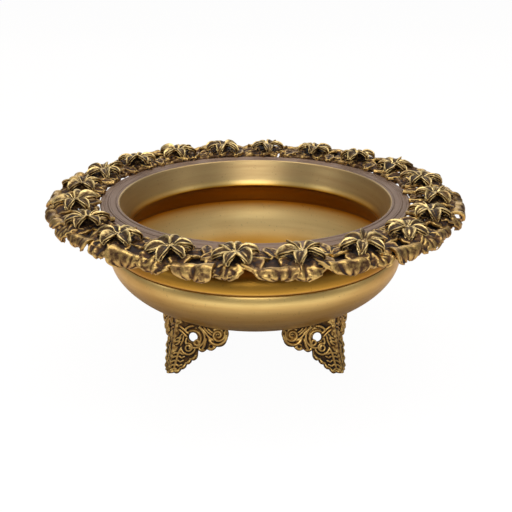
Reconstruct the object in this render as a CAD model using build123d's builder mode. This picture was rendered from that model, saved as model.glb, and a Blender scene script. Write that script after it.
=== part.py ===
"""Footed brass urli: a wide, shallow bowl for floating flowers, with a cast garland round its lip.

The bowl is two shells brazed at a seam just above its widest part. The lower shell is a dish.
The upper shell is the shoulder, the narrow neck and the flat turned lip. Five cast leaf sections
stand round the lip on leaf tips that lap onto it. Each of the twenty flowers has a peg that goes
through a leaf and is riveted over below. Four fretted feet are brazed under the dish.

Millimetres. The origin is on the ground under the middle of the bowl, +Z is up, and -Y is the front.
"""

import os
from math import cos, radians, sin

from build123d import *

# Heights: the lip above the ground, then each drop from the ring above.
LIP_HEIGHT = 152.0
NECK_HEIGHT = 24.4
SHOULDER_HEIGHT = 21.0
SEAM_ABOVE_BELLY = 9.2
DISH_DEPTH = 55.4

# Radii: the lip, then each step in or out from the ring above.
LIP_RADIUS = 151.0
LIP_WIDTH = 18.6
NECK_TAPER = 9.2
SHOULDER_SPREAD = 19.4
BELLY_SWELL = 1.9
DISH_RUN = 98.5

# Metal of the bowl.
WALL = 2.8
LIP_THICKNESS = 3.2
MOUTH_ROUNDING = 1.2
BELLY_SIDE_FULLNESS = 0.41
BELLY_FLOOR_FULLNESS = 0.57
SHOULDER_SIDE_FULLNESS = 0.60
SHOULDER_TOP_FULLNESS = 0.55

# The seam: a spigot on the upper shell stands inside the rim of the lower one.
SEAM_CHAMFER = 0.6
SPIGOT_DEPTH = 4.0
SPIGOT_THICKNESS = 1.5
BRAZE_GAP = 0.1

# Two rings turned into the top of the lip.
GROOVE_INSETS = (7.2, 14.8)
GROOVE_WIDTH = 1.0
GROOVE_DEPTH = 0.7

# The garland: leaves cut from one drooping brim.
FLOWERS = 20
SECTIONS = 5
SECTION_LEAD = 4.75
FLOWER_PHASE = 12.7
FLOWER_REACH = 23.0
GARLAND_REACH = 52.0
GARLAND_GAP = 7.5
GARLAND_RISE = 0.8
GARLAND_DROOP = 10.0
DROOP_WIDTH = 17.0
LEAF_THICKNESS = 3.2
VINE_WIDTH = 8.0
OUTER_LEAF_WIDTH = 27.0
SIDE_LEAF_LENGTH = 26.0
SIDE_LEAF_WIDTH = 14.0
SIDE_LEAF_SPREAD = 31.0
CUP_LEAF_LENGTH = 36.0
CUP_LEAF_WIDTH = 25.0
CUP_LEAF_HOLLOW = 1.6
SEAT_RADIUS = 12.5

# Leaf tips that lap onto the lip and carry the garland.
TAB_LAP = 4.0
TAB_WIDTH = 8.0
TAB_THICKNESS = 2.4

# Flowers, their heights above the leaf they stand on.
FLOWER_RADIUS = 20.5
HEART_HEIGHT = 6.6
CREST_HEIGHT = 13.6
TIP_HEIGHT = 6.4
CREST_PLACE = 0.56
PETAL_THICKNESS = 2.2
PETAL_WIDTH = 13.0
FIVE_PETALLED = (4, 9, 15)
FLOWER_SPIN = 23.0
COLLAR_RADIUS = 4.6
BUD_RADIUS = 3.6
PEG_RADIUS = 2.4
PEG_GAP = 0.1
RIVET_RADIUS = 3.6
RIVET_HEIGHT = 1.2

# Feet: two fretted wings that meet at an outward spine.
FEET = 4
FOOT_PHASE = 45.0
FOOT_INSET = 30.0
FOOT_LEAN = 12.0
FOOT_SPREAD = 61.0
FOOT_PLATE = 5.0
FOOT_WIDTH = 54.0
FOOT_HOLE = (21.7, 37.3)
FOOT_HOLE_RADII = (4.3, 6.0)
SPINE_RADIUS = 3.0
SOLE_TRIM = 2.0
# Each cusp of the scalloped lower edge, and how far the lobe before it bulges.
FOOT_CUSPS = (
    ((0.16 * FOOT_WIDTH, 1.2), 1.6),
    ((0.275 * FOOT_WIDTH, 6.6), 2.4),
    ((0.36 * FOOT_WIDTH, 13.2), 2.2),
    ((0.485 * FOOT_WIDTH, 18.6), 2.2),
    ((0.49 * FOOT_WIDTH, 26.5), 0.0),
    ((0.665 * FOOT_WIDTH, 27.2), 2.8),
    ((0.86 * FOOT_WIDTH, 31.2), 2.6),
    ((FOOT_WIDTH, 44.0), 6.0),
)

WAIST_HEIGHT = LIP_HEIGHT - NECK_HEIGHT
SEAM_HEIGHT = WAIST_HEIGHT - SHOULDER_HEIGHT
BELLY_HEIGHT = SEAM_HEIGHT - SEAM_ABOVE_BELLY
BASE_HEIGHT = BELLY_HEIGHT - DISH_DEPTH
MOUTH_RADIUS = LIP_RADIUS - LIP_WIDTH
WAIST_RADIUS = MOUTH_RADIUS - NECK_TAPER
SEAM_RADIUS = WAIST_RADIUS + SHOULDER_SPREAD
BELLY_RADIUS = SEAM_RADIUS + BELLY_SWELL
BASE_RADIUS = BELLY_RADIUS - DISH_RUN
BELLY_POINT = (BELLY_RADIUS, BELLY_HEIGHT)
SEAM_POINT = (SEAM_RADIUS, SEAM_HEIGHT)
FLOWER_RING_RADIUS = LIP_RADIUS + FLOWER_REACH
GARLAND_RADIUS = LIP_RADIUS + GARLAND_REACH
SECTION_ANGLE = 360.0 / SECTIONS
FLOWER_PITCH = 360.0 / FLOWERS
FLOWERS_PER_SECTION = FLOWERS // SECTIONS
VINE_INNER_RADIUS = LIP_RADIUS + GARLAND_GAP
LEAF_TOP = LIP_HEIGHT + GARLAND_RISE
LEAF_UNDERSIDE = LEAF_TOP - LEAF_THICKNESS
FOOT_TOE_RADIUS = BELLY_RADIUS - FOOT_INSET


def dish_curve(inset):
    """The dish from its widest ring down to its flat floor, moved into the metal by inset."""
    return (
        (BELLY_RADIUS - inset, BELLY_HEIGHT),
        (BELLY_RADIUS - inset, BELLY_HEIGHT - BELLY_SIDE_FULLNESS * DISH_DEPTH),
        (BASE_RADIUS + BELLY_FLOOR_FULLNESS * DISH_RUN, BASE_HEIGHT + inset),
        (BASE_RADIUS, BASE_HEIGHT + inset),
    )


def shoulder_curve(inset, seam_inset):
    """The shoulder from the seam in to the waist, moved into the metal by inset."""
    foot_radius = SEAM_RADIUS - seam_inset
    waist_radius = WAIST_RADIUS + WALL - inset
    rise = WAIST_HEIGHT - inset - SEAM_HEIGHT
    return (
        (foot_radius, SEAM_HEIGHT),
        (foot_radius, SEAM_HEIGHT + SHOULDER_SIDE_FULLNESS * rise),
        (waist_radius + SHOULDER_TOP_FULLNESS * (foot_radius - waist_radius), WAIST_HEIGHT - inset),
        (waist_radius, WAIST_HEIGHT - inset),
    )


def make_bowl_base():
    """The lower shell: a dish whose rim ends at the seam."""
    with BuildPart() as base:
        with BuildSketch(Plane.XZ):
            with BuildLine():
                TangentArc(BELLY_POINT, SEAM_POINT, tangent=(0, 1))
                Bezier(*dish_curve(0))
                Polyline(
                    (BASE_RADIUS, BASE_HEIGHT),
                    (0, BASE_HEIGHT),
                    (0, BASE_HEIGHT + WALL),
                    (BASE_RADIUS, BASE_HEIGHT + WALL),
                )
                Bezier(*dish_curve(WALL))
                TangentArc(
                    (BELLY_RADIUS - WALL, BELLY_HEIGHT),
                    (SEAM_RADIUS - WALL, SEAM_HEIGHT),
                    tangent=(0, 1),
                )
                Line((SEAM_RADIUS - WALL, SEAM_HEIGHT), SEAM_POINT)
            make_face()
        revolve(axis=Axis.Z)
        seam_edge = base.edges().filter_by(GeomType.CIRCLE).group_by(Axis.Z)[-1].sort_by(SortBy.RADIUS)[-1]
        chamfer(seam_edge, SEAM_CHAMFER)
    return base.part


def make_bowl_shoulder():
    """The upper shell: spigot, shoulder, neck and turned lip."""
    spigot_radius = SEAM_RADIUS - WALL - BRAZE_GAP
    spigot_inner_radius = spigot_radius - SPIGOT_THICKNESS
    lip_underside = LIP_HEIGHT - LIP_THICKNESS
    with BuildPart() as shoulder:
        with BuildSketch(Plane.XZ):
            with BuildLine():
                Bezier(*shoulder_curve(0, 0))
                Polyline(
                    (WAIST_RADIUS + WALL, WAIST_HEIGHT),
                    (MOUTH_RADIUS + WALL, lip_underside),
                    (LIP_RADIUS, lip_underside),
                    (LIP_RADIUS, LIP_HEIGHT),
                    (MOUTH_RADIUS, LIP_HEIGHT),
                    (WAIST_RADIUS, WAIST_HEIGHT - WALL),
                )
                Bezier(*shoulder_curve(WALL, WALL + BRAZE_GAP + SPIGOT_THICKNESS))
                Polyline(
                    (spigot_inner_radius, SEAM_HEIGHT),
                    (spigot_inner_radius, SEAM_HEIGHT - SPIGOT_DEPTH),
                    (spigot_radius, SEAM_HEIGHT - SPIGOT_DEPTH),
                    (spigot_radius, SEAM_HEIGHT),
                    SEAM_POINT,
                )
            make_face()
        revolve(axis=Axis.Z)
        with BuildSketch(Plane.XZ):
            for inset in GROOVE_INSETS:
                groove_radius = LIP_RADIUS - inset
                with BuildLine():
                    Polyline(
                        (groove_radius - GROOVE_WIDTH / 2, LIP_HEIGHT),
                        (groove_radius, LIP_HEIGHT - GROOVE_DEPTH),
                        (groove_radius + GROOVE_WIDTH / 2, LIP_HEIGHT),
                        close=True,
                    )
                make_face()
        revolve(axis=Axis.Z, mode=Mode.SUBTRACT)
        rings = shoulder.edges().filter_by(GeomType.CIRCLE)
        mouth_edge = rings.group_by(Axis.Z)[-1].sort_by(SortBy.RADIUS)[0]
        fillet(mouth_edge, MOUTH_ROUNDING)
        rings = shoulder.edges().filter_by(GeomType.CIRCLE)
        at_seam = rings.filter_by_position(Axis.Z, SEAM_HEIGHT - BRAZE_GAP, SEAM_HEIGHT + BRAZE_GAP)
        chamfer(at_seam.sort_by(SortBy.RADIUS)[-1], SEAM_CHAMFER)
    return shoulder.part


def polar_point(centre, length, angle):
    """The point at a length and angle from a centre."""
    return (centre[0] + length * cos(radians(angle)), centre[1] + length * sin(radians(angle)))


def upright_plane(angle):
    """The vertical plane through the bowl's axis whose X axis points out at the angle."""
    return Plane.XZ.rotated((0, 0, angle))


def level_plane(height, angle, radius=0):
    """A level plane whose X axis points out at the angle, its origin at the radius."""
    origin = (*polar_point((0, 0), radius, angle), height)
    return Plane(origin=origin, x_dir=(*polar_point((0, 0), 1, angle), 0), z_dir=(0, 0, 1))


def leaf_shape(root, tip, width):
    """The plan of a pointed leaf from root to tip."""
    with BuildSketch() as leaf:
        with BuildLine():
            SagittaArc(root, tip, width / 2)
            SagittaArc(root, tip, -width / 2)
        make_face()
    return leaf.sketch


def flower_leaves():
    """The plan of one flower's leaves on its out-pointing plane: one out, two aslant, one beside."""
    seat = (FLOWER_RING_RADIUS, 0)
    cup_angle = FLOWER_PITCH / 2
    cup_middle = VINE_INNER_RADIUS + VINE_WIDTH / 2 + CUP_LEAF_LENGTH / 2
    with BuildSketch() as leaves:
        with Locations(seat):
            Circle(SEAT_RADIUS)
        add(leaf_shape(seat, (GARLAND_RADIUS + LEAF_THICKNESS, 0), OUTER_LEAF_WIDTH))
        for side in (-1, 1):
            tip = polar_point(seat, SIDE_LEAF_LENGTH, side * SIDE_LEAF_SPREAD)
            add(leaf_shape(seat, tip, SIDE_LEAF_WIDTH))
        with Locations(Location(polar_point((0, 0), cup_middle, cup_angle), cup_angle)):
            Ellipse(CUP_LEAF_LENGTH / 2, CUP_LEAF_WIDTH / 2)
    return leaves.sketch


def make_garland_section():
    """One casting of the garland, its first flower on the X axis."""
    droop_start = GARLAND_RADIUS - DROOP_WIDTH
    rim_height = LEAF_TOP - GARLAND_DROOP
    seat = (FLOWER_RING_RADIUS, 0)
    cup_middle = VINE_INNER_RADIUS + VINE_WIDTH / 2 + CUP_LEAF_LENGTH / 2
    hollow_ball = ((CUP_LEAF_WIDTH / 2) ** 2 + CUP_LEAF_HOLLOW**2) / (2 * CUP_LEAF_HOLLOW)
    angles = [FLOWER_PITCH * index for index in range(FLOWERS_PER_SECTION)]
    with BuildPart() as section:
        with BuildSketch(upright_plane(-SECTION_LEAD)):
            with BuildLine():
                TangentArc((droop_start, LEAF_TOP), (GARLAND_RADIUS, rim_height), tangent=(1, 0))
                Line((GARLAND_RADIUS, rim_height), (GARLAND_RADIUS - LEAF_THICKNESS, rim_height))
                TangentArc(
                    (droop_start, LEAF_UNDERSIDE),
                    (GARLAND_RADIUS - LEAF_THICKNESS, rim_height),
                    tangent=(1, 0),
                )
                Polyline(
                    (droop_start, LEAF_UNDERSIDE),
                    (VINE_INNER_RADIUS, LEAF_UNDERSIDE),
                    (VINE_INNER_RADIUS, LEAF_TOP),
                    (droop_start, LEAF_TOP),
                )
            make_face()
        revolve(axis=Axis.Z, revolution_arc=SECTION_ANGLE)
        with BuildSketch(Plane.XY.offset(rim_height)):
            Circle(VINE_INNER_RADIUS + VINE_WIDTH)
            Circle(VINE_INNER_RADIUS - SEAT_RADIUS, mode=Mode.SUBTRACT)
            for angle in angles:
                with Locations(Location((0, 0), angle)):
                    add(flower_leaves())
        extrude(amount=GARLAND_DROOP, mode=Mode.INTERSECT)
        for angle in angles:
            with BuildSketch(level_plane(LIP_HEIGHT, angle)):
                add(leaf_shape(seat, (LIP_RADIUS - TAB_LAP, 0), TAB_WIDTH))
            extrude(amount=TAB_THICKNESS)
            with BuildSketch(level_plane(LEAF_TOP, angle)):
                with Locations(seat):
                    Circle(COLLAR_RADIUS + PEG_GAP)
            extrude(amount=TAB_THICKNESS, mode=Mode.SUBTRACT)
            with BuildSketch(level_plane(LEAF_TOP, angle)):
                with Locations(seat):
                    Circle(PEG_RADIUS + PEG_GAP)
            extrude(amount=-2 * LEAF_THICKNESS, mode=Mode.SUBTRACT)
            cup_plane = level_plane(LEAF_TOP, angle + FLOWER_PITCH / 2, cup_middle)
            with Locations(cup_plane.offset(hollow_ball - CUP_LEAF_HOLLOW)):
                Sphere(hollow_ball, mode=Mode.SUBTRACT)
    return section.part


def make_flower(petals):
    """One flower standing on the origin: curled petals, bud, collar, and a riveted peg below."""
    crest = (CREST_PLACE * FLOWER_RADIUS, CREST_HEIGHT)
    tip = (FLOWER_RADIUS, TIP_HEIGHT)
    lower_crest = (crest[0], crest[1] - PETAL_THICKNESS)
    lower_tip = (tip[0] - PETAL_THICKNESS / 2, tip[1] - PETAL_THICKNESS)
    lower_heart = (0, HEART_HEIGHT - PETAL_THICKNESS)
    with BuildPart() as flower:
        with BuildSketch(Plane.XZ):
            with BuildLine():
                Spline((0, HEART_HEIGHT), crest, tip, tangents=((1, 0), (0.6, -1)))
                Line(tip, lower_tip)
                Spline(lower_heart, lower_crest, lower_tip, tangents=((1, 0), (0.6, -1)))
                Line(lower_heart, (0, HEART_HEIGHT))
            make_face()
        revolve(axis=Axis.Z)
        with BuildSketch():
            with PolarLocations(0, petals):
                add(leaf_shape((0, 0), (FLOWER_RADIUS, 0), PETAL_WIDTH))
            Circle(COLLAR_RADIUS)
        extrude(amount=CREST_HEIGHT, mode=Mode.INTERSECT)
        with BuildSketch():
            Circle(COLLAR_RADIUS)
        extrude(amount=HEART_HEIGHT)
        with BuildSketch():
            Circle(PEG_RADIUS)
        extrude(amount=-LEAF_THICKNESS)
        with BuildSketch(Plane.XY.offset(-LEAF_THICKNESS)):
            Circle(RIVET_RADIUS)
        extrude(amount=-RIVET_HEIGHT)
        with Locations((0, 0, HEART_HEIGHT)):
            Sphere(BUD_RADIUS)
    return flower.part


def make_foot():
    """One foot with its toe on the X axis, cut to the underside of the dish."""
    toe = level_plane(0, 0, FOOT_TOE_RADIUS)
    wing_dir = toe.x_dir.rotate(Axis.Z, 180 - FOOT_SPREAD)
    spine_dir = toe.z_dir - toe.x_dir * sin(radians(FOOT_LEAN))
    wing_plane = Plane(origin=toe.origin, x_dir=wing_dir, z_dir=wing_dir.cross(spine_dir))
    spine_top = wing_plane.to_local_coords(toe.origin + spine_dir * BELLY_HEIGHT)
    sole_corner = (0, -SOLE_TRIM)
    with BuildPart() as foot:
        with BuildSketch(wing_plane):
            with BuildLine():
                corner = sole_corner
                for cusp, bulge in FOOT_CUSPS:
                    if bulge:
                        SagittaArc(corner, cusp, bulge)
                    else:
                        Line(corner, cusp)
                    corner = cusp
                Polyline(
                    corner,
                    (corner[0], spine_top.Y),
                    (spine_top.X, spine_top.Y),
                    (0, 0),
                    sole_corner,
                )
            make_face()
            with Locations(FOOT_HOLE):
                Ellipse(*FOOT_HOLE_RADII, mode=Mode.SUBTRACT)
        extrude(amount=FOOT_PLATE / 2, both=True)
        mirror(about=Plane.XZ)
        with BuildSketch(Plane(origin=toe.origin - spine_dir * SOLE_TRIM, z_dir=spine_dir)):
            Circle(SPINE_RADIUS)
        extrude(amount=BELLY_HEIGHT)
        split(bisect_by=Plane.XY, keep=Keep.TOP)
        with BuildSketch(Plane.XZ):
            with BuildLine():
                Bezier(*dish_curve(0))
                Polyline(
                    (BASE_RADIUS, BASE_HEIGHT),
                    (0, BASE_HEIGHT),
                    (0, 2 * BELLY_HEIGHT),
                    (BELLY_RADIUS, 2 * BELLY_HEIGHT),
                    BELLY_POINT,
                )
            make_face()
        revolve(axis=Axis.Z, mode=Mode.SUBTRACT)
    return foot.part


def write_piece(part, name, place=Location()):
    """Sets a finished piece in its place, labels it and writes it under that name."""
    with BuildPart() as piece:
        with Locations(place):
            add(part)
    piece.part.label = name
    export_step(piece.part, f"parts/{name}.step")
    print(name, "solids", len(piece.part.solids()), "volume", round(piece.part.volume))


def main():
    os.makedirs("parts", exist_ok=True)
    write_piece(make_bowl_base(), "bowl_base")
    write_piece(make_bowl_shoulder(), "bowl_shoulder")
    garland_section = make_garland_section()
    for index in range(SECTIONS):
        turn = FLOWER_PHASE + SECTION_ANGLE * index
        write_piece(garland_section, f"garland_section_{index + 1}", Location((0, 0, 0), (0, 0, turn)))
    six_petals = make_flower(6)
    five_petals = make_flower(5)
    for index in range(FLOWERS):
        angle = FLOWER_PHASE + FLOWER_PITCH * index
        heart = (*polar_point((0, 0), FLOWER_RING_RADIUS, angle), LEAF_TOP)
        flower = five_petals if index in FIVE_PETALLED else six_petals
        write_piece(flower, f"flower_{index + 1:02d}", Location(heart, (0, 0, angle + FLOWER_SPIN * index)))
    foot = make_foot()
    for index in range(FEET):
        turn = FOOT_PHASE + 360 / FEET * (index + 2)
        write_piece(foot, f"foot_{index + 1}", Location((0, 0, 0), (0, 0, turn)))


main()
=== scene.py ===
# %% [markdown]
# # A footed brass urli with a garland of flowers
# The real bowl is five kinds of piece: two turned shells brazed at a seam, cast leaf sections round
# the lip, cast flowers riveted through the leaves, and four fretted feet. The frame gives the place
# and the size of every one of them. Each is made again here with the detail that a turner, a caster
# and years of handling leave behind, and each stands exactly where its plain solid stood.

# %% Load the frame and read the sizes that everything hangs on
import math
import random

import bpy
import numpy as np
from mathutils.geometry import tessellate_polygon
from mathutils.kdtree import KDTree
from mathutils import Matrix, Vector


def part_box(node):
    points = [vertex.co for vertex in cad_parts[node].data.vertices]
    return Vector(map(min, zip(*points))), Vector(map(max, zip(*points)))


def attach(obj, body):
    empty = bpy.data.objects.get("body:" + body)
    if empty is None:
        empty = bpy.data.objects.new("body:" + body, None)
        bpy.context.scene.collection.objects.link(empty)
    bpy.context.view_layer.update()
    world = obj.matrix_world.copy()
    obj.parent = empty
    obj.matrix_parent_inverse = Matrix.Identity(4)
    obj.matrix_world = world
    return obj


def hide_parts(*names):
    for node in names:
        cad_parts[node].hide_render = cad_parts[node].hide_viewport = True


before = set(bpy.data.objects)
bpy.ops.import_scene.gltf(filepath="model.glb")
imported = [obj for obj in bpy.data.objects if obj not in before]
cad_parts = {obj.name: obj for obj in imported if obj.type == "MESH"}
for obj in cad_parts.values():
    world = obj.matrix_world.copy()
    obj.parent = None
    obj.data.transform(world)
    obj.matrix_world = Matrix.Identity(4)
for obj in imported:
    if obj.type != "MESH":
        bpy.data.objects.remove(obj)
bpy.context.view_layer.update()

MM = 0.001
GROUND = 0.0
shoulder_low, shoulder_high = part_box("bowl_shoulder")
dish_low, dish_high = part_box("bowl_base")
LIP_RADIUS = shoulder_high[0]
LIP_Z = shoulder_high[2]
BELLY_RADIUS = dish_high[0]
DISH_FLOOR_Z = dish_low[2]
SEAM_Z = dish_high[2]
garland_nodes = sorted(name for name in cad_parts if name.startswith("garland_section"))
flower_nodes = sorted(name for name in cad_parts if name.startswith("flower"))
foot_nodes = sorted(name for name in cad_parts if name.startswith("foot"))
print("lip radius", LIP_RADIUS, "lip height", LIP_Z, "seam height", SEAM_Z)
print(len(garland_nodes), "garland sections", len(flower_nodes), "flowers", len(foot_nodes), "feet")

# %% [markdown]
# ## From points to pieces
# Every piece below is a list of points and faces worked out with arithmetic, so a few small helpers
# come first. One makes a mesh object. One hangs it on the frame: it rides on the only body, takes the
# place of its CAD nodes, which it hides, and gets its material.


# %% Make an object from points and faces, and hand it to the frame
def make_object(name, points, faces):
    mesh = bpy.data.meshes.new(name)
    mesh.from_pydata(np.asarray(points, dtype=float).tolist(), [], [tuple(face) for face in faces])
    mesh.update()
    mesh.polygons.foreach_set("use_smooth", [True] * len(mesh.polygons))
    piece = bpy.data.objects.new(name, mesh)
    bpy.context.scene.collection.objects.link(piece)
    return piece


def hang(piece, nodes, material):
    piece.data.materials.append(material)
    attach(piece, "root")
    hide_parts(*nodes)
    print(piece.name, "faces", len(piece.data.polygons))


def grid_faces(rows, columns, closed_rows=False, closed_columns=False):
    """Four-sided faces over points laid in rows; a closed grid joins its last row to its first."""
    faces = []
    for row in range(rows if closed_rows else rows - 1):
        for column in range(columns if closed_columns else columns - 1):
            next_row = (row + 1) % rows
            next_column = (column + 1) % columns
            here, beyond = row * columns, next_row * columns
            faces.append((here + column, beyond + column, beyond + next_column, here + next_column))
    return faces


def tube_faces(rings, sides):
    """The skin of a tube, with a cap on each end."""
    last = rings * sides
    caps = [tuple(range(sides)), tuple(range(last - 1, last - sides - 1, -1))]
    return grid_faces(rings, sides, False, True) + caps


def mesh_points(mesh):
    places = np.empty(len(mesh.vertices) * 3)
    mesh.vertices.foreach_get("co", places)
    return places.reshape(-1, 3)


def out_from_axis(points):
    return np.hypot(points[:, 0], points[:, 1])


print("a grid of 3 by 3 points has", len(grid_faces(3, 3)), "faces")


# %% [markdown]
# ## Turned metal
# The two shells were spun and turned on a lathe, so each is a section swept once round. The section
# is a closed loop of points that goes out over the outside and back over the inside, so the metal
# has its real thickness. Curves are cut fine enough that no facet shows in a reflection.


# %% Sweep a closed section round the bowl's axis
TURNS = 288


def bezier(start, pull_start, pull_end, end, steps):
    t = np.linspace(0, 1, steps)[:, None]
    weights = ((1 - t) ** 3, 3 * (1 - t) ** 2 * t, 3 * (1 - t) * t**2, t**3)
    controls = (start, pull_start, pull_end, end)
    return sum(weight * np.array(control, dtype=float) for weight, control in zip(weights, controls))


def rounded(corners, bevel, steps=4):
    """An open run of straight lines whose inner corners are cut off in small arcs."""
    corners = [np.array(corner, dtype=float) for corner in corners]
    run = [corners[0]]
    for before, corner, after in zip(corners, corners[1:], corners[2:]):
        back, ahead = before - corner, after - corner
        cut = min(bevel, 0.45 * np.linalg.norm(back), 0.45 * np.linalg.norm(ahead))
        start = corner + back / np.linalg.norm(back) * cut
        end = corner + ahead / np.linalg.norm(ahead) * cut
        for step in range(steps + 1):
            t = step / steps
            run.append((1 - t) ** 2 * start + 2 * (1 - t) * t * corner + t**2 * end)
    run.append(corners[-1])
    return np.array(run)


def turned_points(profile, turns):
    """Sets copies of a run of (radius, height) points side by side round the Z axis."""
    profile = np.array(profile, dtype=float)
    angles = np.linspace(0, 2 * math.pi, turns, endpoint=False)
    points = np.empty((turns, len(profile), 3))
    points[..., 0] = np.cos(angles)[:, None] * profile[:, 0]
    points[..., 1] = np.sin(angles)[:, None] * profile[:, 0]
    points[..., 2] = profile[:, 1]
    return points.reshape(-1, 3)


def turn_section(name, section):
    return make_object(name, turned_points(section, TURNS), grid_faces(TURNS, len(section), True, True))


print(TURNS, "steps round the bowl")


# %% The lower shell, a deep dish from the seam to its flat floor
WALL = 2.8 * MM
BELLY_SWELL = 1.9 * MM
BASE_RADIUS = 0.3183 * BELLY_RADIUS
BELLY_Z = DISH_FLOOR_Z + 0.858 * (SEAM_Z - DISH_FLOOR_Z)
SEAM_RADIUS = BELLY_RADIUS - BELLY_SWELL
AXIS_HOLE = 0.02 * MM
SEAM_ROUND = 0.7 * MM


def dish_wall(inset, steps):
    """The dish from its widest ring to its floor, moved inwards by inset."""
    drop = BELLY_Z - DISH_FLOOR_Z
    return bezier(
        (BELLY_RADIUS - inset, BELLY_Z),
        (BELLY_RADIUS - inset, BELLY_Z - 0.41 * drop),
        (BASE_RADIUS + 0.57 * (BELLY_RADIUS - BASE_RADIUS), DISH_FLOOR_Z + inset),
        (BASE_RADIUS, DISH_FLOOR_Z + inset),
        steps,
    )


def dish_rim(inset, steps=8):
    """The short curl from the widest ring up to the seam."""
    rise = np.linspace(0, 1, steps)[:, None]
    top = SEAM_Z - (SEAM_ROUND if inset == 0 else 0)
    radius = BELLY_RADIUS - inset - (BELLY_RADIUS - SEAM_RADIUS) * rise**2
    return np.hstack([radius, BELLY_Z + (top - BELLY_Z) * rise])


def flat_disc(height, steps=14):
    radius = np.linspace(BASE_RADIUS, AXIS_HOLE, steps)[1:]
    return np.stack([radius, np.full(len(radius), height)], axis=1)


dish_section = np.vstack(
    [
        dish_rim(0)[::-1],
        dish_wall(0, 60)[1:],
        flat_disc(DISH_FLOOR_Z),
        flat_disc(DISH_FLOOR_Z + WALL)[::-1],
        dish_wall(WALL, 60)[::-1],
        dish_rim(WALL)[1:],
        [(SEAM_RADIUS - SEAM_ROUND, SEAM_Z)],
    ]
)
dish = turn_section("dish", dish_section)
print("dish section points", len(dish_section))

# %% The upper shell, from the spigot over the shoulder and neck to the grooved lip
LIP_THICKNESS = 3.2 * MM
LIP_WIDTH = 18.6 * MM
NECK_TAPER = 9.2 * MM
SHOULDER_HEIGHT = 21.0 * MM
BRAZE_GAP = 0.1 * MM
MOUTH_RADIUS = LIP_RADIUS - LIP_WIDTH
WAIST_RADIUS = MOUTH_RADIUS - NECK_TAPER
WAIST_Z = SEAM_Z + SHOULDER_HEIGHT
SPIGOT_LOW_Z = shoulder_low[2]
SPIGOT_OUT = SEAM_RADIUS - WALL - BRAZE_GAP
SPIGOT_IN = SPIGOT_OUT - 0.25 * MM


def shoulder_wall(inset, foot_radius, steps):
    """The shoulder from the seam in to the waist, moved inwards by inset."""
    waist_radius = WAIST_RADIUS + WALL - inset
    waist_z = WAIST_Z - inset
    rise = waist_z - SEAM_Z
    return bezier(
        (foot_radius, SEAM_Z),
        (foot_radius, SEAM_Z + 0.60 * rise),
        (waist_radius + 0.55 * (foot_radius - waist_radius), waist_z),
        (waist_radius, waist_z),
        steps,
    )


# The rings cut into the lip: how far in from its edge, half width and depth, in millimetres.
LIP_GROOVES = ((3.3, 0.45, 0.35), (7.2, 0.6, 0.75), (9.4, 0.4, 0.3), (14.8, 0.6, 0.75))


def lip_top():
    """The lip's face from its outer edge to the mouth, with the rings that the turner cut."""
    across = np.linspace(0, 1, 150)
    radius = LIP_RADIUS + (MOUTH_RADIUS - LIP_RADIUS) * across
    inset = (LIP_RADIUS - radius) / MM
    height = np.full(len(across), LIP_Z)
    for centre, width, depth in LIP_GROOVES:
        height -= depth * MM * np.exp(-(((inset - centre) / width) ** 2))
    height -= 0.35 * MM / (1 + np.exp((inset - 5.2) / 0.25))
    height -= 0.9 * MM * np.clip((inset - 17.2) / 1.4, 0, 1) ** 2
    height -= 0.6 * MM * np.clip((0.9 - inset) / 0.9, 0, 1) ** 2
    return np.stack([radius, height], axis=1)


shoulder_outside = shoulder_wall(0, SEAM_RADIUS, 36)
shoulder_outside[0] = (SEAM_RADIUS - SEAM_ROUND, SEAM_Z)
neck_outside = rounded(
    [
        shoulder_outside[-1],
        (MOUTH_RADIUS + WALL, LIP_Z - LIP_THICKNESS),
        (LIP_RADIUS, LIP_Z - LIP_THICKNESS),
        (LIP_RADIUS, LIP_Z - 0.6 * MM),
    ],
    1.2 * MM,
)
mouth = np.array([MOUTH_RADIUS, LIP_Z - 0.9 * MM])
waist = np.array([WAIST_RADIUS, WAIST_Z - WALL])
neck_inside = np.linspace(mouth, waist, 26)[1:-1]
shoulder_inside = shoulder_wall(WALL, SPIGOT_IN, 36)[::-1]
spigot = [
    (SPIGOT_OUT - 0.1 * MM, SPIGOT_LOW_Z),
    (SPIGOT_OUT, SPIGOT_LOW_Z),
    (SPIGOT_OUT, SEAM_Z),
]
shoulder_section = np.vstack(
    [shoulder_outside, neck_outside[1:-1], lip_top(), neck_inside, shoulder_inside, spigot]
)
shoulder = turn_section("shoulder", shoulder_section)
print("shoulder section points", len(shoulder_section))

# %% [markdown]
# ## Finishes as node groups
# Three effects turn up on more than one piece. Turning lines are the fine rings that a lathe and a
# polishing wheel leave. Tarnish is the slow brown bloom of old brass. Rubbed relief is what
# happens to a casting that is blackened and then wiped: the hollows keep the black, the ridges shine.
# Each is one group with its own inputs, so a material only says how much of it there is.


# %% A small language for wiring nodes
def new_group(name, inputs, outputs):
    group = bpy.data.node_groups.new(name, "ShaderNodeTree")
    for label, kind, value in inputs:
        socket = group.interface.new_socket(label, in_out="INPUT", socket_type=kind)
        socket.default_value = value
    for label, kind in outputs:
        group.interface.new_socket(label, in_out="OUTPUT", socket_type=kind)
    return group, group.nodes.new("NodeGroupInput"), group.nodes.new("NodeGroupOutput")


def add_node(tree, kind, settings=None, **links):
    """Adds a node; each keyword names an input, its spaces as underscores, and gives its source."""
    node = tree.nodes.new(kind)
    for label, value in (settings or {}).items():
        setattr(node, label, value)
    for label, source in links.items():
        feed(tree, node, label.replace("_", " "), source)
    return node


def feed(tree, node, label, source):
    socket = node.inputs[int(label)] if label.isdigit() else node.inputs[label]
    if isinstance(source, bpy.types.NodeSocket):
        tree.links.new(source, socket)
    else:
        socket.default_value = source


def maths(tree, operation, *sources):
    node = tree.nodes.new("ShaderNodeMath")
    node.operation = operation
    for index, source in enumerate(sources):
        feed(tree, node, str(index), source)
    return node.outputs[0]


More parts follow.
